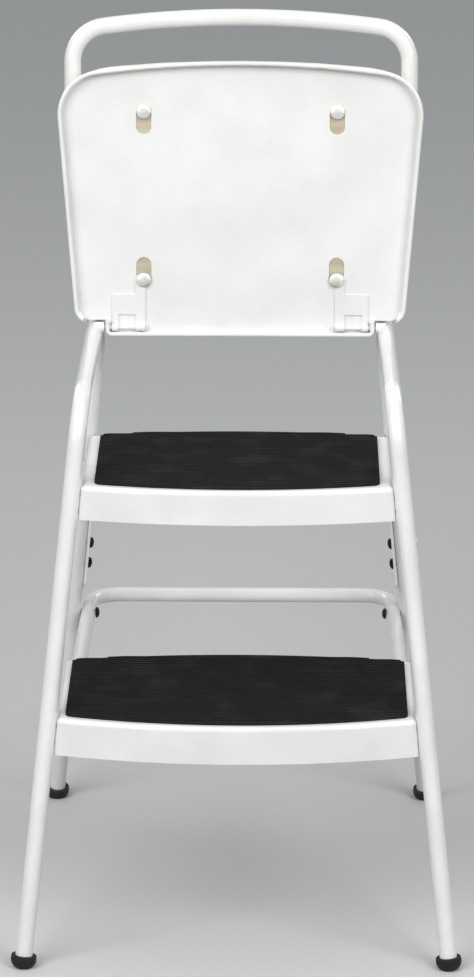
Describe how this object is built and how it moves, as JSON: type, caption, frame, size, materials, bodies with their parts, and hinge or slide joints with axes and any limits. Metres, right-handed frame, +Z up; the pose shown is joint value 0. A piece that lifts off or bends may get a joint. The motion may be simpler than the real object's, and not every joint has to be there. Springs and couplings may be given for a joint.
{
  "type": "step stool chair",
  "caption": "White tubular step stool chair with fixed ribbed steps in front, a curved handle on top and a padded seat that flips up against the backrest.",
  "frame": {"origin": "on the floor under the middle of the whole stool", "axes": "+Z up, +Y from the front feet to the rear feet, +X to the right of a viewer who faces the steps"},
  "size_m": [0.452, 0.5242, 0.8902],
  "materials": {
    "white_enamel": "gloss",
    "foot_rubber": "matte",
    "mat_rubber": "matte",
    "white_vinyl": "satin",
    "plywood": "matte",
    "white_board": "satin",
    "dark_steel": "satin",
    "zinc_steel": "satin"
  },
  "bodies": {
    "frame": {"rear_frame": "white_enamel", "front_leg_right": "white_enamel", "front_leg_left": "white_enamel", "rear_crossbar": "white_enamel", "lower_step": "white_enamel", "upper_step": "white_enamel", "step_brace_right": "white_enamel", "step_brace_left": "white_enamel", "hinge_pin_right": "white_enamel", "hinge_pin_left": "white_enamel", "front_foot_right": "foot_rubber", "front_foot_left": "foot_rubber", "rear_foot_right": "foot_rubber", "rear_foot_left": "foot_rubber", "lower_step_mat": "mat_rubber", "upper_step_mat": "mat_rubber", "backrest_cushion": "white_vinyl", "arm_bolts": "zinc_steel", "frame_nuts": "zinc_steel", "lower_step_rivets": "zinc_steel", "upper_step_rivets": "zinc_steel", "backrest_screws": "zinc_steel", "backrest_board": "white_board", "brace_bolts": "dark_steel", "crossbar_bolts": "dark_steel"},
    "seat": {"seat_pan": "white_enamel", "seat_board": "plywood", "seat_cushion": "white_vinyl", "seat_screws": "zinc_steel", "seat_hinge_right": "white_enamel", "seat_hinge_left": "white_enamel"}
  },
  "joints": [
    {"name": "seat_hinge", "type": "hinge", "parent": "frame", "child": "seat", "pos_m": [0, 0.06591, 0.57985], "axis": [1, 0, 0], "range_deg": [0, 96.7]}
  ]
}
